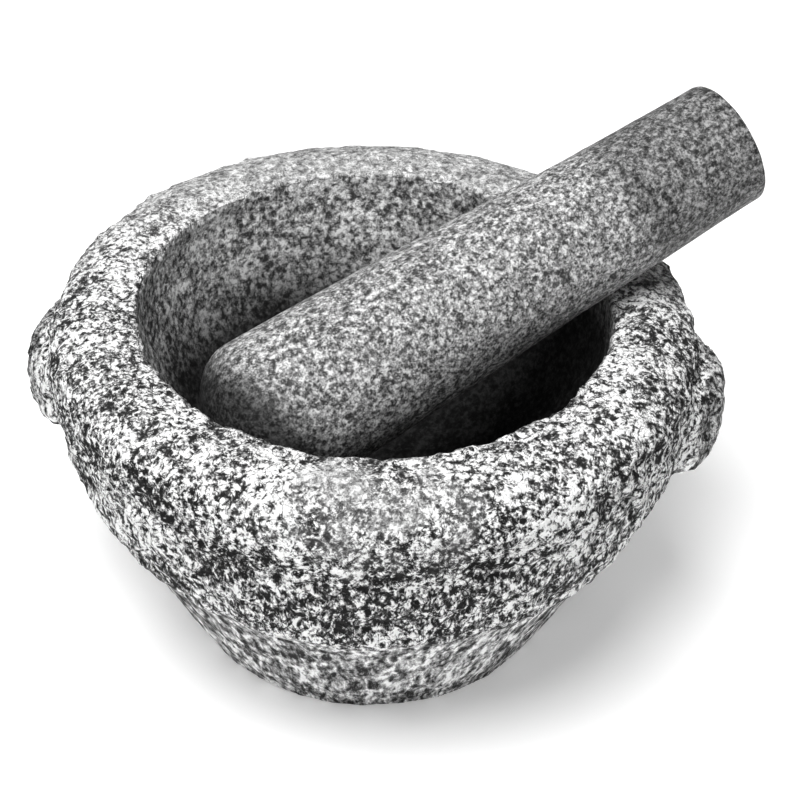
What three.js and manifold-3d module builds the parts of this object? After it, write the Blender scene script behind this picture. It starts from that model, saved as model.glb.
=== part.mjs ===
// A granite molcajete: a mortar with a round foot and two side lugs, and the pestle lying in it.
// Millimetres, +Z up. The origin is the centre of the foot's flat underside, and +X runs out
// through the middle of one lug.
import * as THREE from 'three';
import { mergeVertices } from 'three/addons/utils/BufferGeometryUtils.js';
import Module from 'manifold-3d';

const wasm = await Module();
wasm.setup();

// ---- driving dimensions ----

const TURN_STEPS = 60; // facets round the mortar
const CURVE_STEPS = 5; // straight steps along each curve of a profile

// The foot, a low cone that widens upwards.
const FOOT_RADIUS = 62.5; // at its lower edge, before rounding
const FOOT_EDGE_ROUND = 3.2;
const FOOT_HEIGHT = 19.5;
const FOOT_TOP_RADIUS = 70.5;
const NECK_DEPTH = 0.9; // the shallow groove between foot and belly
const NECK_HEIGHT = 2.5;

// The belly, a swelling curve from the neck to the collar.
const BELLY_TOP = { radius: 101, height: 91.5 };
const BELLY_LOWER_PULL = { radius: 82.6, height: 45.7 };
const BELLY_UPPER_PULL = { radius: 98.4, height: 64 };

// The collar, a band that stands a little proud of the belly.
const COLLAR_BOTTOM = { radius: 101.8, height: 94 };
const COLLAR_RADIUS = 102;
const COLLAR_TOP_HEIGHT = 105;

// The rim, broad and falling gently outwards from its inner edge.
const CROWN = { radius: 84, height: 118.3 };
const RIM_SHOULDER = { radius: 98, height: 114.2 };
const MOUTH_RADIUS = 74;
const MOUTH_EDGE_ROUND = 2.4;

// The bowl, half an ellipsoid below the mouth.
const BOWL_TOP_HEIGHT = 115.6;
const BOWL_DEPTH = 75.5;

// The two lugs, rounded knobs left standing on opposite sides of the collar, each oval in plan.
const LUGS = [
  { heading: 0, bottom: 76.5, top: 104 },
  { heading: 184, bottom: 78, top: 100.5 },
];
const LUG_CENTRE = 94; // from the mortar's axis, inside the wall
const LUG_HALF_DEPTH = 17;
const LUG_HALF_WIDTH = 22;
const LUG_EDGE_ROUND = 7;
const LUG_TURN_STEPS = 32;

// The pestle, a tapered round bar. Its own lengths run from the shoulder, where the domed
// thick end begins, towards the handle end.
const PESTLE_TURN_STEPS = 32;
const SHOULDER_RADIUS = 25.9;
const DOME_DEPTH = 18.2;
const BARREL = { radius: 24.7, at: 42 };
const WAIST = { radius: 22.5, at: 98 };
const HANDLE_RADIUS = 20.4;
const HANDLE_END = 171.3;
const HANDLE_CHAMFER = 1.6;
const HANDLE_CROWN = 1.4; // how far the middle of the handle end stands out

// How the pestle lies: its thick end against the bowl wall, its shaft on the rim.
const SHOULDER_AT = new THREE.Vector3(-26.3, -45.1, 103.9);
const PESTLE_RISE = 17.12; // degrees above level, towards the handle
const PESTLE_HEADING = 36.75; // degrees from +X, seen from above

// ---- helpers ----

const degrees = THREE.MathUtils.degToRad;

// A closed geometry as a solid: vertices shared, and no triangle that has lost its area.
function solidOf(geometry) {
  const bare = geometry.clone();
  bare.deleteAttribute('normal');
  bare.deleteAttribute('uv');
  const merged = mergeVertices(bare, 1e-4);
  const corners = [];
  for (let i = 0; i < merged.index.count; i += 3) {
    const [a, b, c] = [0, 1, 2].map((k) => merged.index.getX(i + k));
    if (a !== b && b !== c && c !== a) corners.push(a, b, c);
  }
  return new wasm.Manifold(new wasm.Mesh({
    numProp: 3,
    vertProperties: new Float32Array(merged.attributes.position.array),
    triVerts: new Uint32Array(corners),
  }));
}

function geometryOf(solid) {
  const mesh = solid.getMesh();
  const geometry = new THREE.BufferGeometry();
  geometry.setAttribute('position', new THREE.BufferAttribute(mesh.vertProperties, 3));
  geometry.setIndex(new THREE.BufferAttribute(mesh.triVerts, 1));
  geometry.computeVertexNormals();
  return geometry;
}

// A profile of radius against height, turned round +Z.
function turned(profile, steps) {
  return new THREE.LatheGeometry(profile, steps).rotateX(Math.PI / 2);
}

function granite(name, geometry, color) {
  const material = new THREE.MeshStandardMaterial({ color, roughness: 0.85, metalness: 0 });
  const mesh = new THREE.Mesh(geometry, material);
  mesh.name = name;
  return mesh;
}

// ---- mortar ----

function mortarProfile() {
  const outline = new THREE.Path();
  outline.moveTo(0, 0);
  outline.lineTo(FOOT_RADIUS - FOOT_EDGE_ROUND, 0);
  outline.quadraticCurveTo(FOOT_RADIUS, 0, FOOT_RADIUS, FOOT_EDGE_ROUND);
  outline.lineTo(FOOT_TOP_RADIUS, FOOT_HEIGHT);
  outline.lineTo(FOOT_TOP_RADIUS - NECK_DEPTH, FOOT_HEIGHT + NECK_HEIGHT / 2);
  outline.lineTo(FOOT_TOP_RADIUS + NECK_DEPTH, FOOT_HEIGHT + NECK_HEIGHT);
  outline.bezierCurveTo(
    BELLY_LOWER_PULL.radius, BELLY_LOWER_PULL.height,
    BELLY_UPPER_PULL.radius, BELLY_UPPER_PULL.height,
    BELLY_TOP.radius, BELLY_TOP.height,
  );
  outline.lineTo(COLLAR_BOTTOM.radius, COLLAR_BOTTOM.height);
  outline.lineTo(COLLAR_RADIUS, COLLAR_TOP_HEIGHT);
  outline.quadraticCurveTo(
    COLLAR_RADIUS - 0.4, RIM_SHOULDER.height - 1.5, RIM_SHOULDER.radius, RIM_SHOULDER.height);
  outline.quadraticCurveTo(
    (CROWN.radius + RIM_SHOULDER.radius) / 2, CROWN.height, CROWN.radius, CROWN.height);
  outline.lineTo(MOUTH_RADIUS + MOUTH_EDGE_ROUND, BOWL_TOP_HEIGHT + MOUTH_EDGE_ROUND);
  outline.quadraticCurveTo(
    MOUTH_RADIUS, BOWL_TOP_HEIGHT + MOUTH_EDGE_ROUND, MOUTH_RADIUS, BOWL_TOP_HEIGHT);
  outline.absellipse(0, BOWL_TOP_HEIGHT, MOUTH_RADIUS, BOWL_DEPTH, 0, -Math.PI / 2, true);
  return outline.getPoints(CURVE_STEPS);
}

// One lug, a thick disc with rounded edges, squeezed to an oval and set at its heading.
function lug({ heading, bottom, top }) {
  const outline = new THREE.Path();
  outline.moveTo(0, bottom);
  outline.lineTo(LUG_HALF_WIDTH - LUG_EDGE_ROUND, bottom);
  outline.quadraticCurveTo(LUG_HALF_WIDTH, bottom, LUG_HALF_WIDTH, bottom + LUG_EDGE_ROUND);
  outline.lineTo(LUG_HALF_WIDTH, top - LUG_EDGE_ROUND);
  outline.quadraticCurveTo(LUG_HALF_WIDTH, top, LUG_HALF_WIDTH - LUG_EDGE_ROUND, top);
  outline.lineTo(0, top);
  return turned(outline.getPoints(CURVE_STEPS), LUG_TURN_STEPS)
    .scale(LUG_HALF_DEPTH / LUG_HALF_WIDTH, 1, 1)
    .translate(LUG_CENTRE, 0, 0)
    .rotateZ(degrees(heading));
}

function mortar() {
  let block = solidOf(turned(mortarProfile(), TURN_STEPS));
  for (const place of LUGS) {
    block = block.add(solidOf(lug(place)));
  }
  return granite('mortar', geometryOf(block), 0xa6a6a6);
}

// ---- pestle ----

function pestleProfile() {
  const outline = new THREE.Path();
  outline.moveTo(0, -DOME_DEPTH);
  outline.absellipse(0, 0, SHOULDER_RADIUS, DOME_DEPTH, -Math.PI / 2, 0, false);
  outline.splineThru([
    new THREE.Vector2(BARREL.radius, BARREL.at),
    new THREE.Vector2(WAIST.radius, WAIST.at),
    new THREE.Vector2(HANDLE_RADIUS, HANDLE_END - HANDLE_CHAMFER),
  ]);
  outline.lineTo(HANDLE_RADIUS - HANDLE_CHAMFER, HANDLE_END);
  outline.quadraticCurveTo(
    HANDLE_RADIUS / 2, HANDLE_END + HANDLE_CROWN, 0, HANDLE_END + HANDLE_CROWN);
  return outline.getPoints(CURVE_STEPS);
}

// The pestle is turned upright, then tipped towards +X and swung to its heading.
function pestle() {
  const bar = solidOf(turned(pestleProfile(), PESTLE_TURN_STEPS));
  const mesh = granite('pestle', geometryOf(bar), 0x8e9091);
  mesh.rotation.set(0, degrees(90 - PESTLE_RISE), degrees(PESTLE_HEADING), 'ZYX');
  mesh.position.copy(SHOULDER_AT);
  return mesh;
}

const group = new THREE.Group();
group.add(mortar(), pestle());

export default group;
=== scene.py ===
"""A granite molcajete: a rough-hewn mortar, ground smoother inside, and the pestle lying in it.

Metres, +Z up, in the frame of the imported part: the origin is the centre of the foot's underside.
"""

import math

import bpy
import numpy as np
from mathutils import Euler, Matrix, Vector, noise


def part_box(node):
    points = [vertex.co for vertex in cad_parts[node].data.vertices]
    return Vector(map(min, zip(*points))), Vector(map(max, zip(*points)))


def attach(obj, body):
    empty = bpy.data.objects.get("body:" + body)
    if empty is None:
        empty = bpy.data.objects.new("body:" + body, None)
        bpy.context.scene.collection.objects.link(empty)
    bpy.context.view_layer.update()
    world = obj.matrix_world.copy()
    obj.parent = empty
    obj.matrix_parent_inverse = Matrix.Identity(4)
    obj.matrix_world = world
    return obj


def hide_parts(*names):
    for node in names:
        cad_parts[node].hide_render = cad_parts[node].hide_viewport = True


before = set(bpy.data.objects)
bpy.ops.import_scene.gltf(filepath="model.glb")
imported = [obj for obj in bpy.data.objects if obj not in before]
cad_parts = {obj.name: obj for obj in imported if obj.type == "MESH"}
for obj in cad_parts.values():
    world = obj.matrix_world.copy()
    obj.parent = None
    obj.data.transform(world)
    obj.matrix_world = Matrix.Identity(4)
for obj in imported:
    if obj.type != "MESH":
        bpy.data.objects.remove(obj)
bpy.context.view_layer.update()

MM = 0.001

# ---- the mortar's form ----

_, mortar_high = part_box("mortar")
RIM_TOP = mortar_high.z
COLLAR_RADIUS = mortar_high.y

FOOT_RADIUS = 62.5 * MM
FOOT_EDGE_ROUND = 3.2 * MM
FOOT_TOP = (70.5 * MM, 19.5 * MM)
NECK = (69.6 * MM, 20.7 * MM)
BELLY_FOOT = (71.4 * MM, 22 * MM)
BELLY_LOWER_PULL = (82.6 * MM, 45.7 * MM)
BELLY_UPPER_PULL = (98.4 * MM, 64 * MM)
BELLY_TOP = (101 * MM, 91.5 * MM)
COLLAR_BOTTOM = (101.8 * MM, 94 * MM)
COLLAR_TOP_HEIGHT = 105 * MM
RIM_SHOULDER = (98 * MM, 114.2 * MM)
CROWN_RADIUS = 84 * MM
MOUTH_RADIUS = 74 * MM
MOUTH_EDGE_ROUND = 1.6 * MM
BOWL_TOP = 115.6 * MM
BOWL_DEPTH = 75.5 * MM

# Each lug's heading in degrees from +X, and the heights of its underside and top.
LUGS = [(0, 76.5 * MM, 104 * MM), (184, 78 * MM, 100.5 * MM)]
LUG_CENTRE = 94 * MM
LUG_HALF_DEPTH = mortar_high.x - LUG_CENTRE
LUG_HALF_WIDTH = 22 * MM
LUG_EDGE_ROUND = 7 * MM
LUG_TURN_STEPS = 96

TURN_STEPS = 220
REMESH_VOXEL = 1.4 * MM

# ---- how the mortar's skin is worked ----

# Pairs of heights between which one way of working passes smoothly into the next.
OVER_BOWL_FLOOR = (36 * MM, 39 * MM)
HEWN_ABOVE = (50 * MM, 62 * MM)
RIM_ABOVE = (108 * MM, 112 * MM)

# Shares of the hewn skin's relief, and of its black and white look.
FOOT_ROUGHNESS = 0.3
BOWL_ROUGHNESS = 0.15
FOOT_BRUISING = 0.12

# The size and the depth of each kind of unevenness.
SWELL = (32 * MM, 1.0 * MM)
LUMPS = (8 * MM, 0.9 * MM)
GRIT = (3.4 * MM, 0.8 * MM)
FACET_SIZE = 6 * MM
FACET_TILT = 1.0 * MM
FACET_STEP = 0.2 * MM
EDGE_CHIP_SIZE = 6 * MM
EDGE_BAND = 3 * MM  # how far from the mouth's edge the chips reach

FOOT_SET_BACK = 1.2 * MM
FOOT_SWELLING = 0.5 * MM
LUG_FILLET = 2.2 * MM

# How far the skin may lie outside or inside the turned form.
HIGHEST = 2 * MM
HIGHEST_ON_LUG = 0.8 * MM
DEEPEST = 3 * MM
FULL_HOLLOW = 1.6 * MM  # a hollow this deep gets the darkest painted shade
PESTLE_CLEARANCE = 0.2 * MM

WORN_SPOT = (12 * MM, -89 * MM, 110 * MM)  # on the front of the rim
WORN_SPOT_HALF_SIZE = (26 * MM, 15 * MM, 13 * MM)
DRAWN_OUT = 0.38  # how far the stone's pattern is drawn out down the belly
PLACE = "grain_place"  # the attribute that says where a vertex lies in the stone's pattern

# ---- the pestle's form ----

SHOULDER_AT = Vector((-26.3, -45.1, 103.9)) * MM  # on its axis, where the domed end begins
PESTLE_RISE = math.radians(17.12)
PESTLE_HEADING = math.radians(36.75)
SHOULDER_RADIUS = 25.9 * MM
DOME_DEPTH = 18.2 * MM
BARREL = (24.7 * MM, 42 * MM)
WAIST = (22.5 * MM, 98 * MM)
HANDLE_RADIUS = 20.4 * MM
HANDLE_END = 171.3 * MM
HANDLE_CHAMFER = 1.6 * MM
HANDLE_CROWN = 1.4 * MM
PESTLE_TURN_STEPS = 180

GRIPPED_FROM = (118 * MM, 132 * MM)  # from the shoulder, where the darker gripped end begins
PAINTED_END_SHADE_UP_TO = (-11 * MM, 5 * MM)  # from the shoulder, over which the painted shade of the domed end sets in

# ---- curves ----


def curve(points, steps):
    """A Bezier curve through its first and last point, as a list that leaves out the first."""
    rows = []
    for k in range(1, steps + 1):
        t = k / steps
        level = [Vector(p) for p in points]
        while len(level) > 1:
            level = [a.lerp(b, t) for a, b in zip(level, level[1:])]
        rows.append(tuple(level[0]))
    return rows


def evenly(points, step):
    """The same outline with points no further apart than step."""
    rows = [points[0]]
    for a, b in zip(points, points[1:]):
        count = max(1, math.ceil(math.dist(a, b) / step))
        rows += [tuple(Vector(a).lerp(Vector(b), k / count)) for k in range(1, count + 1)]
    return rows


def turned(name, outline, steps):
    """A closed mesh: an outline of (radius, height), from the axis to the axis, turned round +Z."""
    rings = outline[1:-1]
    angles = np.linspace(0, 2 * math.pi, steps, endpoint=False)
    radius = np.array([p[0] for p in rings])[:, None]
    height = np.array([p[1] for p in rings])[:, None]
    grid = np.stack(
        [radius * np.cos(angles), radius * np.sin(angles), height + 0 * angles], axis=-1
    )
    verts = grid.reshape(-1, 3).tolist()
    first, last = len(verts), len(verts) + 1
    verts += [(0, 0, outline[0][1]), (0, 0, outline[-1][1])]
    faces = []
    for i in range(len(rings) - 1):
        for j in range(steps):
            k = (j + 1) % steps
            faces.append((i * steps + j, i * steps + k, (i + 1) * steps + k, (i + 1) * steps + j))
    top = (len(rings) - 1) * steps
    for j in range(steps):
        k = (j + 1) % steps
        faces.append((first, k, j))
        faces.append((last, top + j, top + k))
    mesh = bpy.data.meshes.new(name)
    mesh.from_pydata(verts, [], faces)
    return mesh


def placed(name, mesh):
    piece = bpy.data.objects.new(name, mesh)
    bpy.context.scene.collection.objects.link(piece)
    return piece


def coordinates(mesh):
    flat = np.empty(len(mesh.vertices) * 3, np.float32)
    mesh.vertices.foreach_get("co", flat)
    return flat.reshape(-1, 3).astype(float)


def vertex_normals(mesh):
    flat = np.empty(len(mesh.vertices) * 3, np.float32)
    mesh.vertices.foreach_get("normal", flat)
    return flat.reshape(-1, 3).astype(float)


def set_coordinates(mesh, points):
    mesh.vertices.foreach_set("co", points.astype(np.float32).ravel())
    mesh.update()


def store(mesh, name, values):
    """A number for each vertex, for the material to read."""
    attribute = mesh.attributes.new(name, "FLOAT", "POINT")
    attribute.data.foreach_set("value", values.astype(np.float32))


def store_place(mesh, places):
    """A position for each vertex in the stone's pattern."""
    attribute = mesh.attributes.new(PLACE, "FLOAT_VECTOR", "POINT")
    attribute.data.foreach_set("vector", places.astype(np.float32).ravel())


def ease(values, low, high):
    """0 below low, 1 above high, and a smooth step between."""
    t = np.clip((values - low) / (high - low), 0, 1)
    return t * t * (3 - 2 * t)


# ---- stone surfaces ----


def waves(points, size, octaves=1):
    """Smooth noise, about -1 to 1, whose bumps are size apart."""
    fade, finer = 0.9, 2.1  # how each octave weakens, and how much finer it is than the last
    return np.array([
        noise.fractal(Vector(p), fade, finer, octaves, noise_basis="PERLIN_ORIGINAL")
        for p in points / size
    ])


def chipped(points, size, tilt, step):
    """Flat facets, size apart, as a point chisel leaves them: each is tilted and set up or down."""
    out = np.empty(len(points))
    for i, p in enumerate(points / size):
        centre = noise.voronoi(Vector(p))[1][0]
        lean = noise.cell_vector(centre * 7.3) - Vector((0.5, 0.5, 0.5))
        height = noise.cell(centre * 5.1 + Vector((3.7, 1.9, 8.3)))
        out[i] = (Vector(p) - centre).dot(lean) * tilt + height * step
    return out


def pestle_matrix():
    turn = Euler((0, math.pi / 2 - PESTLE_RISE, 0)).to_matrix().to_4x4()
    heading = Matrix.Rotation(PESTLE_HEADING, 4, "Z")
    return Matrix.Translation(SHOULDER_AT) @ heading @ turn


def room_to_pestle(points):
    """How far each point is from the pestle's surface, or a little less."""
    axis = np.array(pestle_matrix().to_3x3() @ Vector((0, 0, 1)))
    offset = points - np.array(SHOULDER_AT)
    along = offset @ axis
    across = np.linalg.norm(offset - along[:, None] * axis, axis=1)
    stations = [0, BARREL[1], WAIST[1], HANDLE_END]
    radii = [SHOULDER_RADIUS, BARREL[0], WAIST[0], HANDLE_RADIUS]
    to_shaft = np.maximum(across - np.interp(along, stations, radii), along - HANDLE_END)
    flatness = DOME_DEPTH / SHOULDER_RADIUS
    to_dome = (np.hypot(across, along / flatness) - SHOULDER_RADIUS) * flatness
    return np.where(along < 0, to_dome, to_shaft)


# ---- mortar ----


def mortar_outline():
    outline = [(0, 0), (FOOT_RADIUS - FOOT_EDGE_ROUND, 0)]
    outline += curve([outline[-1], (FOOT_RADIUS, 0), (FOOT_RADIUS, FOOT_EDGE_ROUND)], 6)
    outline += [FOOT_TOP, NECK, BELLY_FOOT]
    outline += curve([BELLY_FOOT, BELLY_LOWER_PULL, BELLY_UPPER_PULL, BELLY_TOP], 24)
    outline += [COLLAR_BOTTOM, (COLLAR_RADIUS, COLLAR_TOP_HEIGHT)]
    collar_pull = (COLLAR_RADIUS - 0.4 * MM, RIM_SHOULDER[1] - 1.5 * MM)
    outline += curve([outline[-1], collar_pull, RIM_SHOULDER], 8)
    crown = (CROWN_RADIUS, RIM_TOP)
    outline += curve([RIM_SHOULDER, ((CROWN_RADIUS + RIM_SHOULDER[0]) / 2, RIM_TOP), crown], 8)
    lip = BOWL_TOP + MOUTH_EDGE_ROUND
    outline += [(MOUTH_RADIUS + MOUTH_EDGE_ROUND, lip)]
    outline += curve([outline[-1], (MOUTH_RADIUS, lip), (MOUTH_RADIUS, BOWL_TOP)], 4)
    for k in range(1, 41):
        turn = math.pi / 2 * k / 40
        outline.append((MOUTH_RADIUS * math.cos(turn), BOWL_TOP - BOWL_DEPTH * math.sin(turn)))
    return evenly(outline, 2.5 * MM)


def lug_mesh(heading, bottom, top):
    """A thick disc with rounded edges, squeezed to an oval and set at its heading."""
    side, edge = LUG_HALF_WIDTH, LUG_HALF_WIDTH - LUG_EDGE_ROUND
    outline = [(0, bottom), (edge, bottom)]
    outline += curve([(edge, bottom), (side, bottom), (side, bottom + LUG_EDGE_ROUND)], 8)
    outline += [(side, top - LUG_EDGE_ROUND)]
    outline += curve([(side, top - LUG_EDGE_ROUND), (side, top), (edge, top)], 8)
    outline += [(0, top)]
    mesh = turned("lug", outline, LUG_TURN_STEPS)
    squeeze = Matrix.Diagonal((LUG_HALF_DEPTH / LUG_HALF_WIDTH, 1, 1, 1))
    swing = Matrix.Rotation(math.radians(heading), 4, "Z")
    mesh.transform(swing @ Matrix.Translation((LUG_CENTRE, 0, 0)) @ squeeze)
    return mesh


def applied(piece):
    """The piece's mesh with its modifiers worked in."""
    graph = bpy.context.evaluated_depsgraph_get()
    mesh = bpy.data.meshes.new_from_object(piece.evaluated_get(graph), depsgraph=graph)
    piece.modifiers.clear()
    piece.data = mesh


def joined_block():
    """The turned body and both lugs as one even mesh of small squares."""
    body = placed("mortar_stone", turned("mortar_stone", mortar_outline(), TURN_STEPS))
    lugs = [placed("lug", lug_mesh(*lug)) for lug in LUGS]
    with bpy.context.temp_override(
        active_object=body, selected_editable_objects=[body, *lugs]
    ):
        bpy.ops.object.join()
    remesh = body.modifiers.new("even", "REMESH")
    remesh.mode = "VOXEL"
    remesh.voxel_size = REMESH_VOXEL
    applied(body)
    return body


def mortar_regions(points, normals):
    """Each vertex's share in the bowl, rim top, lugs, hewn upper part and flat underside."""
    radius = np.hypot(points[:, 0], points[:, 1])
    height = points[:, 2]
    inward = -(points[:, 0] * normals[:, 0] + points[:, 1] * normals[:, 1]) / radius.clip(1e-6)
    over_floor = ease(height, *OVER_BOWL_FLOOR)
    bowl = over_floor * ease(-radius, -MOUTH_RADIUS, 2 * MM - MOUTH_RADIUS)
    inner_edge = radius < MOUTH_RADIUS + 6 * MM
    bowl = np.maximum(bowl, over_floor * ease(inward, 0.6, 0.9) * inner_edge)
    top = ease(normals[:, 2], 0.55, 0.9) * ease(height, *RIM_ABOVE) * (1 - bowl)
    lug = ease(radius, COLLAR_RADIUS + 1 * MM, COLLAR_RADIUS + 4 * MM)
    coarse = ease(height, *HEWN_ABOVE)
    under = ease(-normals[:, 2], 0.9, 0.98) * ease(-height, -3 * MM, -1 * MM)
    return bowl, top, lug, coarse, under


def mouth_edge(points):
    """1 at the edge of the mouth, falling away on both sides of it."""
    radius = np.hypot(points[:, 0], points[:, 1])
    away = np.hypot(radius - MOUTH_RADIUS, points[:, 2] - RIM_TOP)
    return np.exp(-((away / EDGE_BAND) ** 2))


def worn(points, top):
    """How rubbed the rim is: a little all round, most at its back and on one spot in front."""
    ragged = waves(points + 0.4, 14 * MM, 3)
    back = top * (0.08 + 0.92 * ease(points[:, 1] + ragged * 12 * MM, 0, 75 * MM))
    spot = (points - np.array(WORN_SPOT)) / np.array(WORN_SPOT_HALF_SIZE)
    front = 0.8 * ease(0.7 * ragged - np.linalg.norm(spot, axis=1), -1.3, -0.5)
    return np.maximum(back, front)


def lug_fillet(points):
    """How far the corner between each lug and the collar is filled out."""
    radius = np.hypot(points[:, 0], points[:, 1])
    azimuth = np.degrees(np.arctan2(points[:, 1], points[:, 0]))
    near_collar = np.exp(-(((radius - COLLAR_RADIUS) / (4 * MM)) ** 2))
    fill = np.zeros(len(points))
    for heading, bottom, top in LUGS:
        degrees_off = np.abs((azimuth - heading + 180) % 360 - 180)
        here = ease(-degrees_off, -17, -9)
        here *= ease(points[:, 2], bottom - 4 * MM, bottom + 2 * MM)
        here *= ease(-points[:, 2], -top - 4 * MM, -top + 3 * MM)
        fill = np.maximum(fill, here)
    return LUG_FILLET * fill * near_collar


def foot_step(points, outside):
    """The ground foot stands a little back under the hewn belly, and swells lower down."""
    height = points[:, 2]
    back = ease(height, 30 * MM, 46 * MM) * ease(-height, -58 * MM, -50 * MM)
    swelling = np.exp(-(((height - 16 * MM) / (9 * MM)) ** 2))
    return outside * (FOOT_SWELLING * swelling - FOOT_SET_BACK * back)


def grain_place(points, bowl, under):
    """Where each vertex lies in the stone's pattern, which is drawn out down the belly."""
    outside = (1 - bowl) * (1 - under)
    radius = np.hypot(points[:, 0], points[:, 1]).clip(FOOT_RADIUS / 2)
    low = outside * np.maximum(BELLY_TOP[1] - points[:, 2], 0)
    girth = 1 + outside * ease(low, 0, 10 * MM) * (BELLY_TOP[0] / radius - 1)
    place = points * girth[:, None]
    place[:, 2] = points[:, 2] + DRAWN_OUT * low
    return place


def hewn(mesh):
    """Moves the even block's vertices to a chiselled skin, and stores what the material reads."""
    points, normals = coordinates(mesh), vertex_normals(mesh)
    bowl, top, lug, coarse, under = mortar_regions(points, normals)
    rubbed = worn(points, top)
    rough = FOOT_ROUGHNESS + (1 - FOOT_ROUGHNESS) * coarse
    rough = rough * (1 - 0.4 * top) * (1 - 0.5 * rubbed)
    rough = rough * (1 - bowl) + BOWL_ROUGHNESS * bowl
    rough = rough * (1 - under)
    outside = (1 - bowl) * (1 - under)

    swell = waves(points, SWELL[0], 2) * SWELL[1]
    lumps = waves(points + 0.3, LUMPS[0], 2) * LUMPS[1]
    facets = chipped(points, FACET_SIZE, FACET_TILT, FACET_STEP)
    grit = waves(points + 0.7, GRIT[0]) * GRIT[1]
    chips = (0.7 + 2 * np.minimum(waves(points + 0.6, EDGE_CHIP_SIZE, 2), 0.15)) * MM
    move = rough * (swell + lumps + facets + grit) + mouth_edge(points) * chips
    move = move + foot_step(points, outside)
    move = np.clip(move, -DEEPEST, HIGHEST + (HIGHEST_ON_LUG - HIGHEST) * lug)
    move = move + lug_fillet(points)
    move = np.minimum(move, room_to_pestle(points) - PESTLE_CLEARANCE)
    set_coordinates(mesh, points + normals * move[:, None])

    store(mesh, "bruised", (1 - bowl) * (FOOT_BRUISING + (1 - FOOT_BRUISING) * coarse))
    store(mesh, "rim", top)
    store(mesh, "lug", lug)
    store(mesh, "bowl", bowl)
    store(mesh, "worn", rubbed)
    # painted shade: the deeper the skin lies under the turned form, the darker the material paints
    # it
    store(mesh, "painted_hollow_shade", np.clip(0.5 - 0.5 * move / FULL_HOLLOW, 0, 1))
    store_place(mesh, grain_place(points, bowl, under))


def build_mortar():
    mortar = joined_block()
    hewn(mortar.data)
    mortar.data.shade_smooth()
    mortar.data.materials.clear()
    mortar.data.materials.append(mortar_granite())
    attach(mortar, "mortar_body")
    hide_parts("mortar")
    return mortar


# ---- pestle ----


def pestle_outline():
    outline = []
    for k in range(25):
        turn = math.pi / 2 * k / 24
        outline.append((SHOULDER_RADIUS * math.sin(turn), -DOME_DEPTH * math.cos(turn)))
    stations = [0, BARREL[1], WAIST[1], HANDLE_END - HANDLE_CHAMFER]
    radii = [SHOULDER_RADIUS, BARREL[0], WAIST[0], HANDLE_RADIUS]
    taper = np.polyfit(stations, radii, 3)
    for along in np.linspace(0, HANDLE_END - HANDLE_CHAMFER, 60)[1:]:
        outline.append((float(np.polyval(taper, along)), float(along)))
    edge = (HANDLE_RADIUS - HANDLE_CHAMFER, HANDLE_END)
    outline += curve([outline[-1], (HANDLE_RADIUS, HANDLE_END), edge], 5)
    cap = HANDLE_END + HANDLE_CROWN
    outline += curve([edge, (HANDLE_RADIUS / 2, cap), (0, cap)], 8)
    return evenly(outline, 1.6 * MM)


def build_pestle():
    mesh = turned("pestle_stone", pestle_outline(), PESTLE_TURN_STEPS)
    mesh.update()
    points, normals = coordinates(mesh), vertex_normals(mesh)
    along = points[:, 2]
    bends = waves(points + 0.1, 45 * MM) * 0.25 * MM
    lumps = waves(points + 0.2, 9 * MM, 2) * 0.1 * MM
    grit = waves(points + 0.5, 3.5 * MM) * 0.06 * MM
    ground_off = 0.1 * MM
    move = bends + lumps + grit - ground_off
    set_coordinates(mesh, points + normals * move[:, None])
    ragged = waves(points + 0.9, 20 * MM, 3) * 4 * MM
    store(mesh, "gripped", ease(along + ragged, *GRIPPED_FROM))
    # painted shade: the domed end, which lies down by the bowl's wall, is painted dark, its edge
    # slanted across the axis
    underneath = 0.25 * (points[:, 0] - points[:, 1])
    store(mesh, "painted_end_shade", ease(underneath - along + 0.5 * ragged, *PAINTED_END_SHADE_UP_TO))
    store_place(mesh, points)
    mesh.transform(pestle_matrix())
    mesh.shade_smooth()
    mesh.materials.append(pestle_granite())
    pestle = placed("pestle_stone", mesh)
    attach(pestle, "pestle_body")
    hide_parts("pestle")
    return pestle


# ---- material nodes ----


SHEEN = 0.15  # dry unpolished stone hardly shines
GRADING = 0.45  # the power by which the eye grades light


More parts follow.
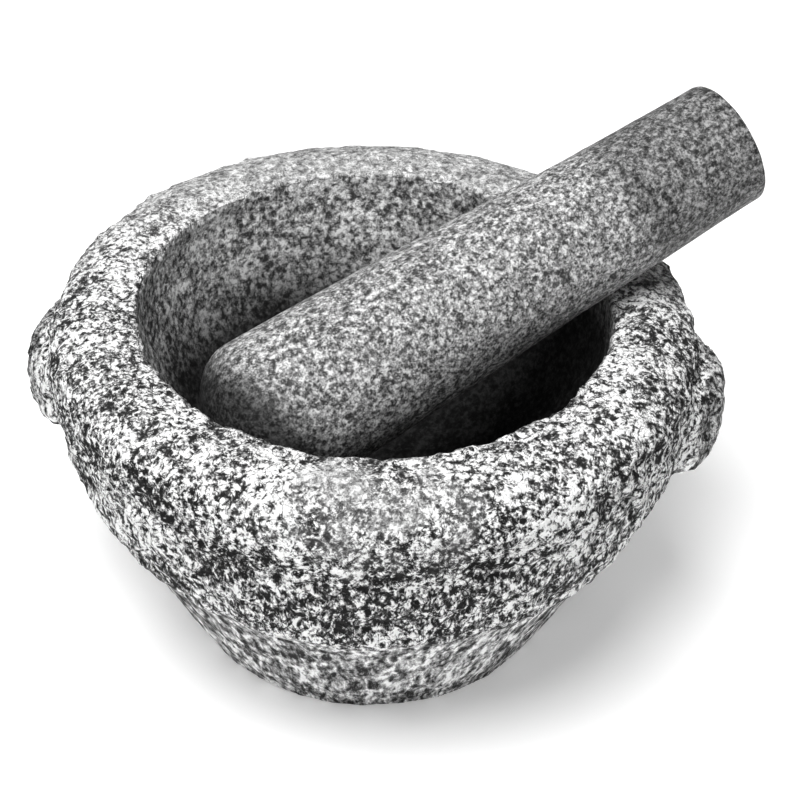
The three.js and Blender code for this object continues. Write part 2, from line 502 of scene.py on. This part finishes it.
class Nodes:
    """Short calls that add nodes to one material and join them up."""

    def __init__(self, name):
        self.material = bpy.data.materials.new(name)
        self.material.use_nodes = True
        self.tree = self.material.node_tree
        self.tree.nodes.clear()
        self.place = self.add("ShaderNodeAttribute", attribute_name=PLACE).outputs["Vector"]

    def add(self, kind, **settings):
        node = self.tree.nodes.new(kind)
        for key, value in settings.items():
            setattr(node, key, value)
        return node

    def put(self, socket, value):
        if isinstance(value, bpy.types.NodeSocket):
            self.tree.links.new(value, socket)
        else:
            socket.default_value = value

    def noise(self, size, detail=2.0, roughness=0.5, distortion=0.0, shift=0.0):
        """Cloudy noise, 0 to 1, whose patches are size across."""
        texture = self.add("ShaderNodeTexNoise", noise_dimensions="4D")
        self.put(texture.inputs["Vector"], self.place)
        self.put(texture.inputs["W"], shift)
        self.put(texture.inputs["Scale"], 1 / size)
        self.put(texture.inputs["Detail"], detail)
        self.put(texture.inputs["Roughness"], roughness)
        self.put(texture.inputs["Distortion"], distortion)
        return texture.outputs["Fac"]

    def height_and_side(self):
        """Height and distance towards +X, in the part's own frame."""
        split = self.add("ShaderNodeSeparateXYZ")
        self.put(split.inputs[0], self.add("ShaderNodeTexCoord").outputs["Object"])
        return split.outputs["Z"], split.outputs["X"]

    def attribute(self, name):
        return self.add("ShaderNodeAttribute", attribute_name=name).outputs["Fac"]

    def math(self, kind, *values):
        node = self.add("ShaderNodeMath", operation=kind)
        for socket, value in zip(node.inputs, values):
            self.put(socket, value)
        return node.outputs[0]

    def step(self, value, low, high):
        """0 where value is low, 1 where it is high."""
        node = self.add("ShaderNodeMapRange", interpolation_type="SMOOTHSTEP")
        self.put(node.inputs["Value"], value)
        self.put(node.inputs["From Min"], low)
        self.put(node.inputs["From Max"], high)
        return node.outputs["Result"]

    def contours(self, value, width):
        """1 along thin wandering lines, where the value passes its middle."""
        away = self.math("ABSOLUTE", self.math("SUBTRACT", value, 0.5))
        return self.math("SUBTRACT", 1.0, self.step(away, 0.0, width))

    def blend(self, share, a, b):
        """A number between a and b."""
        node = self.add("ShaderNodeMix", data_type="FLOAT")
        self.put(node.inputs["Factor"], share)
        self.put(node.inputs["A"], a)
        self.put(node.inputs["B"], b)
        return node.outputs["Result"]

    def shade(self, value, darkest, lightest):
        """Neutral stone as the eye grades it: value 0 to 1 runs evenly from darkest to lightest."""
        node = self.add("ShaderNodeMapRange", clamp=True)
        self.put(node.inputs["Value"], value)
        self.put(node.inputs["From Min"], 0.0)
        self.put(node.inputs["From Max"], 1.0)
        self.put(node.inputs["To Min"], darkest**GRADING)
        self.put(node.inputs["To Max"], lightest**GRADING)
        return self.math("POWER", node.outputs["Result"], 1 / GRADING)

    def speckle(self, parts, middle=0.5):
        """Adds up noises, each with its weight, about a middle value."""
        total = middle
        for texture, weight in parts:
            total = self.math("MULTIPLY_ADD", self.math("SUBTRACT", texture, 0.5), weight, total)
        return total

    def stone(self, brightness, roughness, height, depth):
        """Finishes the material: a rough dielectric with a fine bumpy skin."""
        bump = self.add("ShaderNodeBump")
        self.put(bump.inputs["Strength"], 1.0)
        self.put(bump.inputs["Distance"], depth)
        self.put(bump.inputs["Height"], height)
        colour = self.add("ShaderNodeCombineColor")
        for channel in colour.inputs[:3]:
            self.put(channel, brightness)
        shader = self.add("ShaderNodeBsdfPrincipled")
        self.put(shader.inputs["Base Color"], colour.outputs[0])
        self.put(shader.inputs["Roughness"], roughness)
        self.put(shader.inputs["Specular IOR Level"], SHEEN)
        self.put(shader.inputs["Normal"], bump.outputs["Normal"])
        output = self.add("ShaderNodeOutputMaterial")
        self.put(output.inputs["Surface"], shader.outputs[0])
        return self.material


def mortar_granite():
    n = Nodes("mortar_granite")
    bruised = n.attribute("bruised")
    bowl = n.attribute("bowl")
    painted_hollow_shade = n.attribute("painted_hollow_shade")
    rim = n.attribute("rim")

    crystals = n.noise(2.1 * MM, 3, 0.7, 0.3, 1.0)
    flecks = n.noise(1.4 * MM, 2, 0.6, 0.6, 5.0)
    grain = n.noise(0.8 * MM, 2, 0.6, 0.0, 9.0)
    clouds = n.noise(7 * MM, 2, 0.5, 0.0, 3.0)
    seams = n.contours(n.noise(5 * MM, 2, 0.6, 0.8, 12.0), 0.03)

    # The hewn skin: white bruises and black flecks, greyer on the lugs and where it is worn, and
    # painted shade darkening its hollows.
    hewn_parts = [(crystals, 5.0), (flecks, 3.2), (grain, 1.1), (clouds, 1.8), (painted_hollow_shade, -0.7)]
    # painted light: the up-facing rim top gets a lighter middle tone than the hewn sides
    middle = n.blend(rim, 0.55, 0.70)
    middle = n.math("SUBTRACT", middle, n.math("MULTIPLY", seams, 0.6))
    hewn_stone = n.shade(n.speckle(hewn_parts, middle), 0.008, 0.95)
    lug_parts = [(crystals, 3.2), (flecks, 2.4), (grain, 1.4), (painted_hollow_shade, -0.8)]
    lug_stone = n.shade(n.speckle(lug_parts, 0.37), 0.01, 0.8)
    hewn_stone = n.blend(n.math("MULTIPLY", n.attribute("lug"), 0.8), hewn_stone, lug_stone)
    worn_look = n.speckle([(crystals, 2.2), (flecks, 1.4), (grain, 0.5), (clouds, 0.8)], 0.52)
    worn_stone = n.shade(worn_look, 0.10, 0.95)
    hewn_stone = n.blend(n.attribute("worn"), hewn_stone, worn_stone)
    blotches = n.noise(3.4 * MM, 1, 0.4, 0.3, 15.0)
    foot_look = n.speckle([(blotches, 2.6), (crystals, 2.2), (flecks, 1.2), (clouds, 1.6)], 0.48)
    foot_stone = n.shade(foot_look, 0.015, 0.9)

    # The bowl, ground smoother, painted darker towards its bottom as painted shade, and with a
    # painted shadow of the pestle's shaft on its right side.
    depth, side = n.height_and_side()
    ragged = n.math("MULTIPLY", n.math("SUBTRACT", n.noise(18 * MM, 2), 0.5), 12 * MM)
    # painted shadow of the pestle's shaft: the dark reaches 26 mm higher on the bowl's right side
    painted_shaft_shadow = n.math("MULTIPLY", n.step(side, -5 * MM, 40 * MM), -26 * MM)
    unshaded_above = n.math("ADD", n.math("ADD", depth, ragged), painted_shaft_shadow)
    unshaded = n.step(unshaded_above, 72 * MM, 108 * MM)
    honed_look = n.speckle([(crystals, 3.8), (flecks, 1.6), (grain, 0.4), (clouds, 1.2)], 0.50)
    unshaded_stone = n.shade(honed_look, 0.05, 1.0)
    # painted shade: the near-black stone below that line
    painted_shade_stone = n.shade(honed_look, 0.002, 0.03)
    honed_stone = n.blend(unshaded, painted_shade_stone, unshaded_stone)

    brightness = n.blend(bruised, foot_stone, hewn_stone)
    brightness = n.blend(bowl, brightness, honed_stone)
    height = n.speckle([(crystals, 1.2), (flecks, 0.5), (grain, 0.4), (seams, -0.2)])
    height = n.math("MULTIPLY", height, n.blend(bruised, 0.45, 1.0))
    height = n.math("MULTIPLY", height, n.blend(bowl, 1.0, 0.2))
    return n.stone(brightness, 0.82, height, 1.8 * MM)


def pestle_granite():
    n = Nodes("pestle_granite")
    gripped = n.attribute("gripped")
    crystals = n.noise(1.9 * MM, 3, 0.65, 0.2, 2.0)
    flecks = n.noise(1.3 * MM, 2, 0.6, 0.5, 6.0)
    grain = n.noise(0.7 * MM, 2, 0.6, 0.0, 4.0)
    pepper = n.step(n.noise(1.7 * MM, 2, 0.6, 0.5, 8.0), 0.59, 0.65)
    look = n.speckle([(crystals, 2.4), (flecks, 2.0), (grain, 1.6)])
    body = n.shade(look, 0.03, 0.64)
    handle = n.shade(look, 0.015, 0.33)
    # painted shade on the domed end: a near-black copy of the stone
    painted_end_shade = n.shade(look, 0.004, 0.06)
    brightness = n.blend(gripped, body, handle)
    brightness = n.blend(n.attribute("painted_end_shade"), brightness, painted_end_shade)
    brightness = n.blend(n.math("MULTIPLY", pepper, 0.8), brightness, 0.04)
    height = n.speckle([(crystals, 1.0), (grain, 0.6), (pepper, -0.3)])
    return n.stone(brightness, 0.6, height, 0.25 * MM)


# ---- floor, light and camera ----

CAMERA_AT = Vector((0.0617, -0.5023, 0.4852))
CAMERA_AIM = Vector((0.0085, 0.0009, 0.0788))
CAMERA_ROLL = math.radians(1.69)
CAMERA_LENS = 90
SENSOR_WIDTH = 36


def build_floor():
    mesh = bpy.data.meshes.new("floor")
    side = 6.0
    corners = [(-side, -side, 0), (side, -side, 0), (side, side, 0), (-side, side, 0)]
    mesh.from_pydata(corners, [], [(0, 1, 2, 3)])
    material = bpy.data.materials.new("floor")
    material.use_nodes = True
    shader = material.node_tree.nodes["Principled BSDF"]
    shader.inputs["Base Color"].default_value = (0.9, 0.9, 0.9, 1)
    shader.inputs["Roughness"].default_value = 0.9
    shader.inputs["Emission Color"].default_value = (1, 1, 1, 1)
    shader.inputs["Emission Strength"].default_value = 0.25
    mesh.materials.append(material)
    floor = placed("floor", mesh)


def area_light(name, at, aim, size, power):
    data = bpy.data.lights.new(name, "AREA")
    data.shape = "DISK"
    data.size = size
    data.energy = power
    lamp = placed(name, data)
    lamp.location = at
    lamp.rotation_mode = "QUATERNION"
    lamp.rotation_quaternion = (Vector(aim) - Vector(at)).to_track_quat("-Z", "Y")


def build_lights():
    area_light("overhead_softbox", (-0.15, -0.34, 1.28), (0, 0, 0.08), 0.8, 22.5)
    area_light("front_panel", (-0.2, -1.5, 0.75), (0, 0, 0.06), 0.8, 4.5)
    area_light("back_panel", (-0.7, 1.1, 0.8), (0, 0, 0.06), 0.8, 3)
    world = bpy.data.worlds.new("studio")
    world.use_nodes = True
    background = world.node_tree.nodes["Background"]
    background.inputs["Color"].default_value = (1, 1, 1, 1)
    background.inputs["Strength"].default_value = 0.15
    bpy.context.scene.world = world


def build_camera():
    data = bpy.data.cameras.new("camera")
    data.lens = CAMERA_LENS
    data.sensor_width = SENSOR_WIDTH
    data.clip_start = 0.01
    camera = placed("camera", data)
    camera.location = CAMERA_AT
    camera.rotation_mode = "QUATERNION"
    look = (CAMERA_AIM - CAMERA_AT).to_track_quat("-Z", "Y")
    camera.rotation_quaternion = look @ Euler((0, 0, CAMERA_ROLL)).to_quaternion()
    bpy.context.scene.camera = camera


build_mortar()
build_pestle()
build_floor()
build_lights()
build_camera()
bpy.context.scene.view_settings.view_transform = "Standard"
